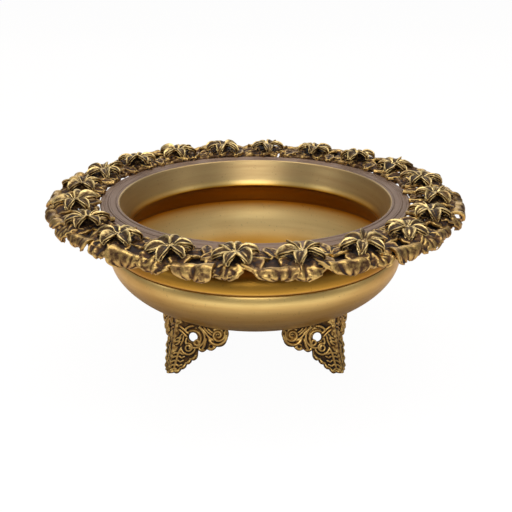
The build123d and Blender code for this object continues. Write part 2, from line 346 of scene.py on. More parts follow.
def blend_colour(tree, factor, under, over):
    node = tree.nodes.new("ShaderNodeMix")
    node.data_type = "RGBA"
    feed(tree, node, "0", factor)
    feed(tree, node, "6", under)
    feed(tree, node, "7", over)
    return node.outputs[2]


def remap(tree, source, low, high):
    """Stretches low to high over 0 to 1, and holds it there on both sides."""
    return add_node(tree, "ShaderNodeMapRange", Value=source, From_Min=low, From_Max=high).outputs["Result"]


def noise(tree, place, scale, detail, roughness):
    values = {"Vector": place, "Scale": scale, "Detail": detail, "Roughness": roughness}
    return add_node(tree, "ShaderNodeTexNoise", **values).outputs["Fac"]


def painted(tree, label):
    """A value that was painted on the points of the mesh."""
    return add_node(tree, "ShaderNodeAttribute", {"attribute_name": label}).outputs["Fac"]


print("wiring helpers are ready")


# %% Turning lines: rings of slightly different height round the axis
def build_turning_lines():
    group, given, result = new_group(
        "turning lines",
        [("Lines per Metre", "NodeSocketFloat", 900.0), ("Unevenness", "NodeSocketFloat", 0.5)],
        [("Height", "NodeSocketFloat"), ("Streak", "NodeSocketFloat")],
    )
    place = add_node(group, "ShaderNodeNewGeometry").outputs["Position"]
    axes = add_node(group, "ShaderNodeSeparateXYZ", Vector=place)
    square = maths(group, "MULTIPLY", axes.outputs["X"], axes.outputs["X"])
    reach = maths(group, "MULTIPLY_ADD", axes.outputs["Y"], axes.outputs["Y"], square)
    radius = maths(group, "SQRT", reach)
    angle = maths(group, "ARCTAN2", axes.outputs["Y"], axes.outputs["X"])
    swing_x = maths(group, "MULTIPLY", maths(group, "COSINE", angle), given.outputs["Unevenness"])
    swing_y = maths(group, "MULTIPLY", maths(group, "SINE", angle), given.outputs["Unevenness"])
    ring = maths(group, "ADD", radius, maths(group, "MULTIPLY", axes.outputs["Z"], 1.31))
    ring = maths(group, "MULTIPLY", ring, given.outputs["Lines per Metre"])
    around = add_node(group, "ShaderNodeCombineXYZ", X=swing_x, Y=swing_y, Z=ring).outputs["Vector"]
    fine = noise(group, around, 1.0, 3.0, 0.65)
    wide = add_node(group, "ShaderNodeVectorMath", {"operation": "MULTIPLY"})
    feed(group, wide, "0", around)
    feed(group, wide, "1", (2.5, 2.5, 0.13))
    feed(group, result, "Height", fine)
    feed(group, result, "Streak", noise(group, wide.outputs[0], 1.0, 4.0, 0.6))
    return group


turning_lines = build_turning_lines()
print("group", turning_lines.name, "with", len(turning_lines.nodes), "nodes")


# %% Tarnish: a brown bloom in soft islands, with small dark specks
def build_tarnish():
    group, given, result = new_group(
        "tarnish",
        [
            ("Amount", "NodeSocketFloat", 0.5),
            ("Island Scale", "NodeSocketFloat", 18.0),
            ("Speck Scale", "NodeSocketFloat", 420.0),
        ],
        [("Bloom", "NodeSocketFloat"), ("Specks", "NodeSocketFloat")],
    )
    place = add_node(group, "ShaderNodeNewGeometry").outputs["Position"]
    islands = noise(group, place, given.outputs["Island Scale"], 6.0, 0.62)
    spots = noise(group, place, given.outputs["Speck Scale"], 2.0, 0.5)
    low = maths(group, "SUBTRACT", 0.78, maths(group, "MULTIPLY", given.outputs["Amount"], 0.55))
    high = maths(group, "ADD", low, 0.30)
    specks = remap(group, spots, 0.66, 0.74)
    feed(group, result, "Bloom", remap(group, islands, low, high))
    feed(group, result, "Specks", maths(group, "MULTIPLY", specks, given.outputs["Amount"]))
    return group


tarnish = build_tarnish()
print("group", tarnish.name, "with", len(tarnish.nodes), "nodes")


# %% [markdown]
# ## Turned brass
# Polished brass is a metal, so its base colour is the colour of its reflection. The lathe lines go
# into the bump and the roughness, which draws highlights out across them, and the tarnish darkens
# and browns the gold. Where the bowl is not evenly bright, a value is painted on the points of the
# mesh: dullness on the lip and low on the belly, and half as much over the neck and the top of the
# shoulder as painted shade under the garland; painted shade in the undercut, on the shoulder under the
# leaves and over the dish floor; and matt inside the dish, where water has taken the polish off, with
# a paler gold there as painted light.


# %% The material of the two shells
def group_node(tree, group, **values):
    node = tree.nodes.new("ShaderNodeGroup")
    node.node_tree = group
    for label, value in values.items():
        feed(tree, node, label.replace("_", " "), value)
    return node


def start_metal(name):
    material = bpy.data.materials.new(name)
    material.use_nodes = True
    tree = material.node_tree
    shader = tree.nodes["Principled BSDF"]
    shader.inputs["Metallic"].default_value = 1.0
    return material, tree, shader


SPECK_BROWN = (0.05, 0.03, 0.012, 1)


def make_turned_brass(name, bright, pale, brown, amber, deep, dull_and_shade, smoothness):
    material, tree, shader = start_metal(name)
    lines = group_node(tree, turning_lines, Lines_per_Metre=950.0, Unevenness=0.6)
    bloom = group_node(tree, tarnish, Amount=0.42, Island_Scale=14.0, Speck_Scale=380.0)
    dullness_and_shade, matt_and_painted_light, painted_shade = (painted(tree, label) for label in ("dullness_and_shade", "matt_and_painted_light", "painted_shade"))
    warmth = remap(tree, lines.outputs["Streak"], 0.35, 0.72)
    gold = blend_colour(tree, maths(tree, "MULTIPLY", warmth, 0.45), bright, brown)
    gold = blend_colour(tree, maths(tree, "MULTIPLY", bloom.outputs["Bloom"], 0.55), gold, brown)
    # painted light: a paler gold inside the dish, besides the matt roughness
    gold = blend_colour(tree, maths(tree, "MULTIPLY", matt_and_painted_light, 0.5), gold, pale)
    # painted shade: towards amber and then deep brown where the shade value is painted
    gold = blend_colour(tree, remap(tree, painted_shade, 0.0, 0.5), gold, amber)
    gold = blend_colour(tree, remap(tree, painted_shade, 0.5, 1.0), gold, deep)
    # a dull grey-brown on the lip and low on the belly, and as painted shade under the garland
    gold = blend_colour(tree, dullness_and_shade, gold, dull_and_shade)
    specks = maths(tree, "MULTIPLY", bloom.outputs["Specks"], 0.6)
    feed(tree, shader, "Base Color", blend_colour(tree, specks, gold, SPECK_BROWN))
    rough = maths(tree, "MULTIPLY_ADD", lines.outputs["Streak"], 0.16, smoothness)
    for mask, extra in ((bloom.outputs["Bloom"], 0.10), (dullness_and_shade, 0.18), (matt_and_painted_light, 0.24)):
        rough = maths(tree, "MULTIPLY_ADD", mask, extra, rough)
    feed(tree, shader, "Roughness", rough)
    bump = add_node(tree, "ShaderNodeBump", Strength=0.22, Distance=0.00006, Height=lines.outputs["Height"])
    feed(tree, shader, "Normal", bump.outputs["Normal"])
    print("material", name, "with", len(tree.nodes), "nodes")
    return material


# The paler gold is painted light inside the dish, the amber and deep browns are painted shade, and the dull
# grey-brown is the lip's own dullness and painted shade under the garland.
shell_brass = make_turned_brass(
    "turned brass",
    bright=(0.82, 0.59, 0.22, 1),
    pale=(0.88, 0.72, 0.38, 1),
    brown=(0.56, 0.32, 0.085, 1),
    amber=(0.60, 0.31, 0.045, 1),
    deep=(0.20, 0.085, 0.012, 1),
    dull_and_shade=(0.25, 0.165, 0.115, 1),
    smoothness=0.24,
)


# %% Where the shells are dull and matt, and where shade and light are painted
def paint(piece, label, values):
    mark = piece.data.attributes.new(label, "FLOAT", "POINT")
    mark.data.foreach_set("value", np.asarray(values, dtype=np.float32))


def ease(value, low, high):
    t = np.clip((value - low) / (high - low), 0, 1)
    return t * t * (3 - 2 * t)


def dish_dullness(places):
    outside = out_from_axis(places) > np.interp(places[:, 2], *dish_wall(WALL / 2, 60)[::-1].T[::-1])
    low_down = 1 - ease(places[:, 2], DISH_FLOOR_Z, DISH_FLOOR_Z + 26 * MM)
    return np.where(outside | (places[:, 2] < DISH_FLOOR_Z + WALL / 2), 0.85 * low_down, 0.0)


def shoulder_dullness(places):
    out, up = out_from_axis(places), places[:, 2]
    on_lip = ease(up, LIP_Z - 1.2 * MM, LIP_Z - 0.7 * MM) * ease(out, MOUTH_RADIUS, MOUTH_RADIUS + 1.5 * MM)
    # painted shade under the garland: half dull outside the waist, from a little below it upwards, over the
    # neck and the top of the shoulder
    under = ease(out, WAIST_RADIUS + WALL / 2, WAIST_RADIUS + WALL) * ease(up, WAIST_Z - 6 * MM, WAIST_Z)
    return np.maximum(on_lip, 0.5 * under)


def inside_dish(places):
    out = out_from_axis(places)
    above = places[:, 2] > np.interp(out, *(dish_wall(WALL / 2, 60)[::-1].T))
    return above & (out < SEAM_RADIUS - 0.45 * MM)


def dish_browned(places):
    """Painted shade inside the dish: amber over the floor, stronger away from its centre, as a painted
    reflection of the dark undercut, and deep in the undercut below the seam.
    """
    out = out_from_axis(places) / BELLY_RADIUS
    # painted shade over the dish floor, a painted reflection of the dark undercut
    painted_floor_shade = 0.44 * (0.4 + 0.6 * ease(out, 0.20, 0.52)) * (1 - ease(out, 0.78, 0.92))
    # deep painted shade in the undercut below the seam
    under_seam = 0.9 * ease(places[:, 2], BELLY_Z - 5 * MM, SEAM_Z)
    return np.where(inside_dish(places), np.maximum(painted_floor_shade + 0.04, under_seam), 0.03)


def shoulder_browned(places):
    """Painted shade: deep inside the shoulder, and amber on the outside above the seam, where the leaves
    shade it.
    """
    out, up = out_from_axis(places), places[:, 2]
    wall = shoulder_wall(WALL / 2, SEAM_RADIUS - WALL / 2, 36)
    in_shoulder = (up < WAIST_Z + 1 * MM) & (out < np.interp(up, wall[:, 1], wall[:, 0]))
    # deep painted shade inside the shoulder, under the waist
    deep = 0.95 * (1 - ease(up, WAIST_Z - 3 * MM, WAIST_Z + 1 * MM))
    # painted shade on the outside of the shoulder, the neck and the lip's underside, under the leaves
    shaded = 0.68 * ease(up, SEAM_Z - 1.5 * MM, SEAM_Z + 4 * MM) * (up < LIP_Z - 2.5 * MM)
    in_neck = (up > WAIST_Z - 3 * MM) & (out < MOUTH_RADIUS + WALL / 2 - 0.38 * (LIP_Z - up))
    return np.where(in_shoulder, deep, np.where(in_neck, 0.0, shaded))


print("matt points in the dish:", int(inside_dish(mesh_points(dish.data)).sum()))


# %% Paint both shells and hang them
dish_places, shoulder_places = mesh_points(dish.data), mesh_points(shoulder.data)
paint(dish, "dullness_and_shade", dish_dullness(dish_places))
paint(dish, "painted_shade", dish_browned(dish_places))
paint(dish, "matt_and_painted_light", inside_dish(dish_places))
paint(shoulder, "dullness_and_shade", shoulder_dullness(shoulder_places))
paint(shoulder, "painted_shade", shoulder_browned(shoulder_places))
paint(shoulder, "matt_and_painted_light", np.zeros(len(shoulder_places)))
hang(dish, ["bowl_base"], shell_brass)
hang(shoulder, ["bowl_shoulder"], shell_brass)

# %% [markdown]
# ## Cast and rubbed brass
# The garland, flowers and feet were cast, dipped until nearly black, then rubbed with a cloth. The
# cloth only reaches what stands up, so the look hangs on knowing, at each point, how far it stands
# out of its surroundings. Blender could guess that with the Pointiness output, but it changes with
# the mesh. Here each finished mesh is softened by averaging neighbours, and the distance of the real
# point in front of or behind the softened one is stored as two values: edge, for fine ridges, and
# hollow, for wide pockets.


# %% Measure how far each point stands out
def softened(places, ends, passes):
    """Moves every point towards the middle of its neighbours, again and again."""
    count = np.bincount(ends.ravel(), minlength=len(places)).clip(1)[:, None]
    soft = places.copy()
    for _ in range(passes):
        total = np.empty_like(soft)
        for axis in range(3):
            total[:, axis] = np.bincount(ends[:, 0], soft[ends[:, 1], axis], len(soft))
            total[:, axis] += np.bincount(ends[:, 1], soft[ends[:, 0], axis], len(soft))
        soft = 0.4 * soft + 0.6 * total / count
    return soft


def measure_relief(piece, fine_passes, wide_passes, fine_mm, wide_mm):
    mesh = piece.data
    places = mesh_points(mesh)
    ends = np.empty(len(mesh.edges) * 2, dtype=np.int64)
    mesh.edges.foreach_get("vertices", ends)
    ends = ends.reshape(-1, 2)
    normals = np.empty(len(mesh.vertices) * 3)
    mesh.vertex_normals.foreach_get("vector", normals)
    normals = normals.reshape(-1, 3)
    fine = softened(places, ends, fine_passes)
    wide = softened(fine, ends, wide_passes)
    edge = ((places - fine) * normals).sum(axis=1) / (fine_mm * MM)
    hollow = ((wide - places) * normals).sum(axis=1) / (wide_mm * MM)
    paint(piece, "edge", np.clip(edge, -1, 1))
    paint(piece, "hollow", np.clip(hollow, -1, 1))
    print(piece.name, "edge and hollow vary by", round(np.std(edge), 2), round(np.std(hollow), 2))


# %% Rubbed relief: from the measured values to a mask of bright metal
def build_rubbed_relief():
    group, given, result = new_group(
        "rubbed relief",
        [
            ("Rubbing", "NodeSocketFloat", 0.5),
            ("Softness", "NodeSocketFloat", 0.35),
            ("Grain Scale", "NodeSocketFloat", 260.0),
        ],
        [("Bright", "NodeSocketFloat"), ("Black", "NodeSocketFloat"), ("Grain", "NodeSocketFloat")],
    )
    edge, hollow, wear = (painted(group, label) for label in ("edge", "hollow", "wear"))
    surface = add_node(group, "ShaderNodeNewGeometry")
    place = surface.outputs["Position"]
    facing = add_node(group, "ShaderNodeSeparateXYZ", Vector=surface.outputs["Normal"]).outputs["Z"]
    # painted shade: surfaces that face down are made less bright and more black
    below = remap(group, facing, -0.15, -0.75)
    grain = noise(group, place, given.outputs["Grain Scale"], 5.0, 0.65)
    patches = noise(group, place, 90.0, 4.0, 0.6)
    stand = maths(group, "MULTIPLY_ADD", edge, 0.46, maths(group, "MULTIPLY", hollow, -0.30))
    stand = maths(group, "MULTIPLY_ADD", wear, 0.55, stand)
    stand = maths(group, "MULTIPLY_ADD", maths(group, "SUBTRACT", grain, 0.5), 1.5, stand)
    stand = maths(group, "MULTIPLY_ADD", maths(group, "SUBTRACT", patches, 0.5), 1.8, stand)
    stand = maths(group, "MULTIPLY_ADD", below, -0.15, stand)
    stand = maths(group, "ADD", stand, given.outputs["Rubbing"])
    low = maths(group, "SUBTRACT", 0.5, given.outputs["Softness"])
    high = maths(group, "ADD", 0.5, given.outputs["Softness"])
    feed(group, result, "Bright", remap(group, stand, low, high))
    feed(group, result, "Black", remap(group, stand, 0.12, -0.32))
    feed(group, result, "Grain", grain)
    return group


rubbed_relief = build_rubbed_relief()
print("group", rubbed_relief.name, "with", len(rubbed_relief.nodes), "nodes")


# %% The material of a casting
def make_cast_brass(name, gold, brown, black, rubbing, softness, grain_scale, pits):
    material, tree, shader = start_metal(name)
    relief = group_node(tree, rubbed_relief, Rubbing=rubbing, Softness=softness, Grain_Scale=grain_scale)
    bloom = group_node(tree, tarnish, Amount=0.6, Island_Scale=60.0, Speck_Scale=600.0)
    warm = blend_colour(tree, bloom.outputs["Bloom"], gold, brown)
    colour = blend_colour(tree, relief.outputs["Bright"], brown, warm)
    stained = blend_colour(tree, bloom.outputs["Specks"], colour, black)
    colour = blend_colour(tree, relief.outputs["Black"], stained, black)
    dark_share = maths(tree, "SUBTRACT", 1.0, relief.outputs["Bright"])
    colour = blend_colour(tree, maths(tree, "MULTIPLY", dark_share, 0.55), colour, black)
    feed(tree, shader, "Base Color", colour)
    rough = maths(tree, "MULTIPLY_ADD", relief.outputs["Bright"], -0.27, 0.54)
    rough = maths(tree, "MULTIPLY_ADD", relief.outputs["Grain"], 0.12, rough)
    feed(tree, shader, "Roughness", rough)
    metal = maths(tree, "MULTIPLY_ADD", relief.outputs["Black"], -0.7, 1.0)
    feed(tree, shader, "Metallic", metal)
    shader.inputs["Specular IOR Level"].default_value = 0.25
    bump = add_node(tree, "ShaderNodeBump", Strength=pits, Distance=0.0004, Height=relief.outputs["Grain"])
    feed(tree, shader, "Normal", bump.outputs["Normal"])
    print("material", name, "with", len(tree.nodes), "nodes")
    return material


garland_brass = make_cast_brass(
    "rubbed leaf brass",
    gold=(0.68, 0.44, 0.145, 1),
    brown=(0.20, 0.098, 0.044, 1),
    black=(0.026, 0.017, 0.014, 1),
    rubbing=0.40,
    softness=0.30,
    grain_scale=300.0,
    pits=0.5,
)
flower_brass = make_cast_brass(
    "rubbed flower brass",
    gold=(0.82, 0.60, 0.25, 1),
    brown=(0.21, 0.115, 0.045, 1),
    black=(0.018, 0.013, 0.011, 1),
    rubbing=0.38,
    softness=0.28,
    grain_scale=380.0,
    pits=0.35,
)

# %% [markdown]
# ## Leaves
# A cast leaf is a sheet of wax that was bent by hand, so it is made here as one: a strip of rows
# from root to tip, each row as wide as the leaf is there. The rows follow a path seen from the side,
# and a shape function lifts each point to give the cup, the ribs and the wrinkles. A section's leaves
# and its stems are then given thickness and melted into one skin on a fine grid, because a casting is
# one piece of metal, with the soft thick rims and the filled corners that wax leaves.


# %% Bend a sheet along a side view
def side_path(points, rows):
    """Even steps along a smooth run through (out, up) points; returns places and directions."""
    points = np.array(points, dtype=float)
    reach = np.concatenate([[0], np.cumsum(np.hypot(*np.diff(points, axis=0).T))])
    steps = np.linspace(0, reach[-1], rows)
    path = np.stack([np.interp(steps, reach, points[:, 0]), np.interp(steps, reach, points[:, 1])], axis=1)
    for _ in range(3):
        path[1:-1] = 0.25 * path[:-2] + 0.5 * path[1:-1] + 0.25 * path[2:]
    ahead = np.gradient(path, axis=0)
    return path, ahead / np.linalg.norm(ahead, axis=1)[:, None]


def bent_sheet(side_points, half_width, lift, wear, rows, columns, roll=0.0, sweep=0.0):
    """A leaf in its own frame, in millimetres: X out along it, Y across, Z up.

    Returns its points, its faces and how rubbed each point is, from -1 for black to 1 for bright.
    """
    path, ahead = side_path(side_points, rows)
    along = np.linspace(0, 1, rows)[:, None]
    across = np.linspace(-1, 1, columns)[None, :]
    y = across * half_width(along) + sweep * along**2
    height = lift(along, across) + roll * y
    up = np.stack([-ahead[:, 1], ahead[:, 0]], axis=1)
    points = np.empty((rows, columns, 3))
    points[..., 0] = path[:, :1] + up[:, :1] * height
    points[..., 1] = y
    points[..., 2] = path[:, 1:] + up[:, 1:] * height
    rubbed = np.broadcast_to(wear(along, across), (rows, columns))
    return points.reshape(-1, 3), grid_faces(rows, columns), rubbed.reshape(-1)


def through(stops, values):
    """A smooth curve through values at the stops, for widths and heights along a leaf."""
    dense = np.linspace(0, 1, 201)
    line = np.interp(dense, stops, values)
    for _ in range(40):
        line[1:-1] = 0.25 * line[:-2] + 0.5 * line[1:-1] + 0.25 * line[2:]
    return lambda along: np.interp(along, dense, line)


print("a straight path keeps its length:", side_path([(0, 0), (10, 0)], 5)[0][-1])


# %% Turn sheets, join them and give them thickness
def turn_about_up(points, angle):
    turned = points.copy()
    turned[:, 0] = points[:, 0] * math.cos(angle) - points[:, 1] * math.sin(angle)
    turned[:, 1] = points[:, 0] * math.sin(angle) + points[:, 1] * math.cos(angle)
    return turned


def join_sheets(sheets):
    points, faces, rubbed, start = [], [], [], 0
    for sheet_points, sheet_faces, sheet_rubbed in sheets:
        points.append(sheet_points)
        rubbed.append(sheet_rubbed)
        faces.extend(tuple(corner + start for corner in face) for face in sheet_faces)
        start += len(sheet_points)
    return np.vstack(points), faces, np.concatenate(rubbed)


def worked_in(piece):
    """The mesh of a scratch piece with its modifiers worked in; the piece is thrown away."""
    mesh = bpy.data.meshes.new_from_object(piece.evaluated_get(bpy.context.evaluated_depsgraph_get()))
    bpy.data.objects.remove(piece)
    return mesh


def points_and_faces(mesh):
    """Takes the points and faces out of a scratch mesh and throws it away."""
    points = mesh_points(mesh)
    faces = [tuple(face.vertices) for face in mesh.polygons]
    bpy.data.meshes.remove(mesh)
    return points, faces


def thickened(sheet_parts, thickness, subdivisions):
    """Gives sheets, in metres, a thickness below them and rounds their rims."""
    points, faces, rubbed = sheet_parts
    sheet = make_object("sheet", points, faces)
    paint(sheet, "wear", rubbed)
    body = sheet.modifiers.new("thickness", "SOLIDIFY")
    body.thickness = thickness
    body.offset = -1.0
    round_off = sheet.modifiers.new("rounding", "SUBSURF")
    round_off.levels = subdivisions
    round_off.render_levels = subdivisions
    mesh = worked_in(sheet)
    rubbed = np.empty(len(mesh.vertices), dtype=np.float32)
    mesh.attributes["wear"].data.foreach_get("value", rubbed)
    return *points_and_faces(mesh), rubbed


one_point = (np.zeros((1, 3)), [], [0.0])
print("two sheets of one point join into", len(join_sheets([one_point, one_point])[0]), "points")


# %% Melt sheets and cords into one skin
def melted(parts, grid, softening):
    """One closed skin over parts that overlap, the way wax parts are melted together."""
    points, faces, rubbed = parts
    wax = make_object("wax", points, faces)
    skin = wax.modifiers.new("skin", "REMESH")
    skin.mode = "VOXEL"
    skin.voxel_size = grid
    skin.adaptivity = 0.0
    soft = wax.modifiers.new("softening", "SMOOTH")
    soft.factor = 0.5
    soft.iterations = softening
    places, faces = points_and_faces(worked_in(wax))
    tree = KDTree(len(points))
    for index, point in enumerate(points):
        tree.insert(point, index)
    tree.balance()
    nearest = np.array([tree.find(place)[1] for place in places])
    print("melted", len(points), "points into", len(places))
    return places, faces, rubbed[nearest]


# %% The hollow leaf between two flowers
FLOWER_REACH = 23.0
GARLAND_REACH = 52.0
RING = LIP_RADIUS / MM + FLOWER_REACH
OUTER = LIP_RADIUS / MM + GARLAND_REACH
LIP_TOP = LIP_Z / MM


def cup_leaf(dice):
    """The smooth hollow leaf between two flowers, its outer rim raised and then turned down."""
    drop = dice.uniform(6.0, 9.5)
    reach = OUTER - dice.uniform(0.4, 4.0)
    rim = dice.uniform(2.2, 4.4)
    sink = dice.uniform(1.6, 3.4)
    side = [
        (RING - 14.5, 1.8),
        (RING - 6.0, 0.2),
        (RING + 4.0, -sink),
        (RING + 13.0, -1.0),
        (RING + 19.0, rim),
        (reach - 3.5, rim - 0.6),
        (reach - 0.8, rim - 4.0),
        (reach - 0.3, -drop * 0.66),
        (reach - 3.2, -drop),
    ]
    wide = dice.uniform(17.0, 20.0)
    widths = [6, 10, wide - 1, wide, wide, 0.86 * wide, 0.34 * wide]
    width = through([0, 0.18, 0.4, 0.62, 0.8, 0.92, 1.0], widths)
    phase = dice.uniform(0, 6)
    notch = dice.uniform(-0.6, 0.6)

    def lift(along, across):
        bowl = 3.0 * across**2 * np.clip(np.sin(math.pi * np.clip(along / 0.7, 0, 1)), 0, 1)
        lumps = 0.75 * np.sin(7 * along + 4 * across + phase) * np.sin(4.5 * across - phase)
        crease = -1.2 * np.exp(-(((across - notch) / 0.10) ** 2)) * ease(along, 0.58, 0.8)
        swell = 0.7 * np.cos(1.3 * math.pi * across + phase) * ease(along, 0.62, 0.8)
        scallop = 1.9 * np.abs(np.sin(2.1 * math.pi * across + phase)) * ease(along, 0.78, 1.0)
        return bowl + lumps + crease + swell + scallop - 0.9 * ease(along, 0.78, 1.0)

    def wear(along, across):
        hollow = -1.2 * (1 - ease(along, 0.50, 0.62)) * (1 - 0.8 * ease(np.abs(across), 0.75, 1.0))
        rim_shine = 0.8 * np.exp(-(((along - 0.67) / 0.045) ** 2))
        edge_shine = 0.40 * ease(np.abs(across), 0.86, 1.0) + 0.4 * ease(along, 0.92, 1.0)
        return hollow + rim_shine + edge_shine - 0.15 * ease(along, 0.72, 0.8)

    return bent_sheet(side, width, lift, wear, 44, 25, dice.uniform(-0.14, 0.14), dice.uniform(-5, 5))


print("flowers stand on a ring of", round(RING, 1), "mm and leaves reach", round(OUTER, 1), "mm")


# %% The serrated leaf below a flower
def ribbed_leaf(dice):
    """The serrated leaf below a flower, with ribs that slant out from its middle vein."""
    drop = dice.uniform(6.5, 10.0)
    reach = OUTER - dice.uniform(0.0, 3.4)
    side = [
        (RING - 13.0, 1.4),
        (RING - 4.0, 2.8),
        (RING + 8.0, 3.2),
        (RING + 16.0, 2.8),
        (reach - 7.5, 1.2),
        (reach - 2.2, -1.8),
        (reach - 0.4, -0.60 * drop),
        (reach - 2.6, -drop),
    ]
    wide = dice.uniform(15.0, 19.0)
    plain = through([0, 0.2, 0.45, 0.7, 0.88, 1.0], [7, 11, wide, wide, 0.84 * wide, 0.28 * wide])
    ribs = dice.uniform(6.0, 9.0)
    phase = dice.uniform(0, 6)
    folds = dice.uniform(1.6, 2.8)
    depth = dice.uniform(0.10, 0.45)

    def width(along):
        teeth = 1.0 - 0.16 * ((along * ribs) % 1.0)
        return plain(along) * teeth

    def slant(along, across):
        bend = 0.25 * np.sin(5 * across + phase)
        return np.sin(2 * math.pi * (ribs * along - 1.4 * np.abs(across) + bend))

    def lift(along, across):
        rib = depth * slant(along, across) * np.clip(4 * np.abs(across), 0, 1)
        vein = -0.9 * np.exp(-((across / 0.09) ** 2))
        fold = -1.2 * np.abs(across) ** 1.6 + 0.9 * np.cos(folds * math.pi * across + 0.4 * phase)
        lumps = 1.0 * np.sin(8 * along + 4 * across + phase) * np.sin(6 * across - phase)
        return rib + vein + fold + lumps + 0.6

    def wear(along, across):
        ribbing = 0.30 * depth * slant(along, across)
        top = -1.0 * (1 - ease(along, 0.56, 0.74))
        edge_shine = 0.6 * ease(np.abs(across), 0.86, 1.0) + 0.45 * ease(along, 0.92, 1.0)
        fold = 0.45 * np.exp(-(((along - 0.72) / 0.05) ** 2))
        return ribbing + top + edge_shine + fold - 0.1

    return bent_sheet(side, width, lift, wear, 64, 31, dice.uniform(-0.1, 0.1), dice.uniform(-5, 5))


print("a ribbed leaf has", len(ribbed_leaf(random.Random(1))[0]), "points")


# %% The little pointed leaf that fills between the large ones
def small_leaf(dice, length, wide, droop, arch=1.6):
    side = [(0, 0), (0.35 * length, arch), (0.7 * length, 0.7 * arch), (length, -droop)]
    width = through([0, 0.3, 0.55, 0.8, 1.0], [0.35 * wide, 0.85 * wide, wide, 0.62 * wide, 0.06 * wide])
    phase = dice.uniform(0, 6)

    def lift(along, across):
        ripple = 0.22 * np.sin(16 * along - 3 * np.abs(across) + phase)
        return 1.3 * np.abs(across) - 0.8 * np.exp(-((across / 0.16) ** 2)) + ripple

    def wear(along, across):
        return -0.6 + 1.1 * ease(np.abs(across), 0.6, 0.95) + 0.5 * ease(along, 0.8, 1.0)

    return bent_sheet(side, width, lift, wear, 18, 11, dice.uniform(-0.15, 0.15), dice.uniform(-2, 2))


print("a small leaf has", len(small_leaf(random.Random(1), 20, 6, 1)[0]), "points")


# %% Where a leaf goes
def place_round(points, angle, base_z):
    """From a leaf's own frame, X out from the bowl's axis, to the row frame in metres."""
    turned = turn_about_up(points, angle)
    turned[:, 2] += base_z
    return turned * MM


def move_leaf(leaf, out, side, yaw):
    points, faces, rubbed = leaf
    moved = turn_about_up(points, yaw)
    moved[:, 0] += out
    moved[:, 1] += side
    return moved, faces, rubbed


def keep_inside(points):
    """No leaf may pass the garland's widest ring."""
    reach = out_from_axis(points)
    limit = OUTER * MM - 0.2 * MM
    scale = np.where(reach > limit, limit / np.maximum(reach, 1e-9), 1.0)
    points[:, :2] *= scale[:, None]
    return points


def flower_angle(node):
    low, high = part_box(node)
    return math.atan2(low[1] + high[1], low[0] + high[0])


FLOWER_STEP = 2 * math.pi / len(flower_nodes)
LEAF_Z = LIP_TOP + 0.8
flower_angles = [flower_angle(node) for node in flower_nodes]
flowers_each = len(flower_nodes) // len(garland_nodes)
print("one flower every", round(math.degrees(FLOWER_STEP), 1), "degrees,", flowers_each, "to a section")


# %% The leaves of one flower, and the stem that ties a section together
def leaves_of_one_flower(dice, angle):
    """The leaves that go with one flower, as (leaf, angle round the lip, height)."""
    beside = angle + FLOWER_STEP / 2
    leaves = [
        (cup_leaf(dice), beside + dice.uniform(-0.016, 0.016), LEAF_Z - 0.6),
        (ribbed_leaf(dice), angle + dice.uniform(-0.022, 0.022), LEAF_Z - 0.8),
    ]
    for side in (-1, 1):
        leaf = small_leaf(dice, dice.uniform(17, 23), dice.uniform(8.5, 11.5), dice.uniform(1, 4), 2.8)
        out = RING + dice.uniform(0, 4)
        moved = move_leaf(leaf, out, side * dice.uniform(8, 11), side * dice.uniform(0.25, 0.6))
        leaves.append((moved, angle, LEAF_Z + dice.uniform(-0.6, 0.8)))
        leaf = small_leaf(dice, dice.uniform(15, 19), dice.uniform(5.5, 7.5), dice.uniform(0, 2))
        out = RING - dice.uniform(2, 6)
        moved = move_leaf(leaf, out, side * dice.uniform(9, 13), side * dice.uniform(1.2, 2.0))
        leaves.append((moved, angle, LEAF_Z + dice.uniform(-0.4, 0.6)))
    for place in (angle, beside):
        leaf = small_leaf(dice, dice.uniform(19, 24), dice.uniform(4.5, 7.0), -0.4)
        moved = move_leaf(leaf, RING - 3.0, dice.uniform(-6, 6), math.pi + dice.uniform(-0.5, 0.5))
        leaves.append((moved, place, LEAF_Z + 0.9))
    return leaves


def vine(dice, start, end, reach_out, swing, thickness):
    """A knotted stem that ties one section's leaves together, as a bent tube."""
    steps, sides = 110, 10
    angles = np.linspace(start, end, steps)
    phase = dice.uniform(0, 6)
    out = reach_out + swing * (np.sin(23 * angles + phase) + 0.5 * np.sin(61 * angles))
    height = LEAF_Z - 1.7 + 0.8 * np.sin(43 * angles + 2 * phase)
    thick = thickness * (1 + 0.22 * np.sin(57 * angles + phase) + 0.12 * np.sin(131 * angles))
    thick[[0, -1]] = 0.2
    turn = np.linspace(0, 2 * math.pi, sides, endpoint=False)
    points = np.empty((steps, sides, 3))
    reach = out[:, None] + thick[:, None] * np.cos(turn)
    points[..., 0] = np.cos(angles)[:, None] * reach
    points[..., 1] = np.sin(angles)[:, None] * reach
    points[..., 2] = height[:, None] + thick[:, None] * np.sin(turn)
    return points.reshape(-1, 3) * MM, tube_faces(steps, sides), np.full(steps * sides, -0.9)


print("one flower has", len(leaves_of_one_flower(random.Random(1), 0.0)), "leaves")


# %% Lay each section round the lip
SECTION_LEAD = 0.08


